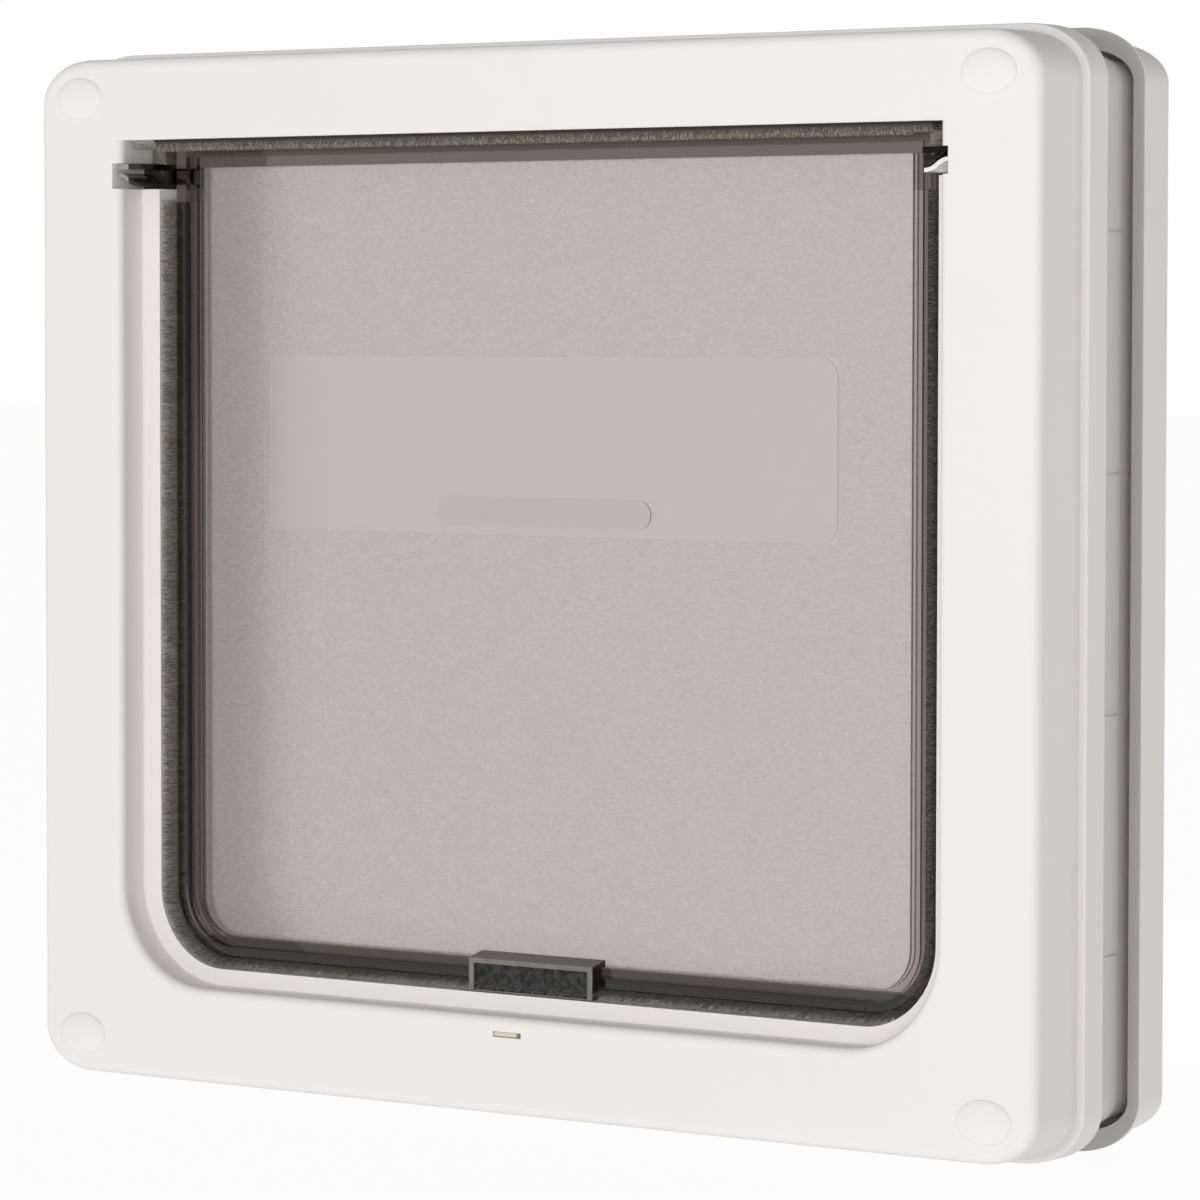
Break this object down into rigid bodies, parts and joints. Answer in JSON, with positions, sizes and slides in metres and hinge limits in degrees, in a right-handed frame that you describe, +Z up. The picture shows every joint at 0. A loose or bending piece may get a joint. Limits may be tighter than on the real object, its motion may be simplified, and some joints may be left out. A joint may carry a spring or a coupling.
{
  "type": "dog door",
  "caption": "Dog door for a door leaf: white front and rear frames, liner sleeve, smoked two-way swing flap with brush seal and magnetic catch.",
  "frame": {"origin": "on the plane the two frame lips stand on, at mid width and mid depth", "axes": "+X to the right seen from the front, +Y from the front frame to the rear frame, +Z up"},
  "size_m": [0.3762, 0.0746, 0.3274],
  "materials": {
    "white_plastic": "satin moulded white",
    "liner_plastic": "satin moulded off-white",
    "cap_plastic": "satin moulded white",
    "smoked_plastic": "smoked translucent, frosted field and glossy rim",
    "pivot_plastic": "smoked glossy",
    "clear_plastic": "clear glossy",
    "housing_plastic": "lightly smoked clear glossy",
    "brush_backing": "woven strip",
    "brush_pile": "dark grey wool pile",
    "magnet": "black ferrite",
    "beige_plastic": "satin moulded beige",
    "screw_steel": "zinc plated",
    "insert_brass": "plain"
  },
  "bodies": {
    "frame": {"front_frame": "white_plastic", "rear_frame": "white_plastic", "tunnel_liner": "liner_plastic", "left_pivot_block": "clear_plastic", "right_pivot_block": "clear_plastic", "top_brush_backing": "brush_backing", "top_brush_pile": "brush_pile", "sill_magnet_holder": "beige_plastic", "sill_magnet": "magnet", "screw_caps": "cap_plastic", "frame_screws": "screw_steel", "threaded_inserts": "insert_brass"},
    "flap": {"flap_panel": "smoked_plastic", "left_pivot_pin": "pivot_plastic", "right_pivot_pin": "pivot_plastic", "side_brush_backing": "brush_backing", "side_brush_pile": "brush_pile", "magnet_housing": "housing_plastic", "flap_magnet": "magnet"}
  },
  "joints": [
    {"name": "flap_swing", "type": "hinge", "parent": "frame", "child": "flap", "pos_m": [0, -0.0156, 0.2881], "axis": [1, 0, 0], "range_deg": [-85, 85]}
  ]
}
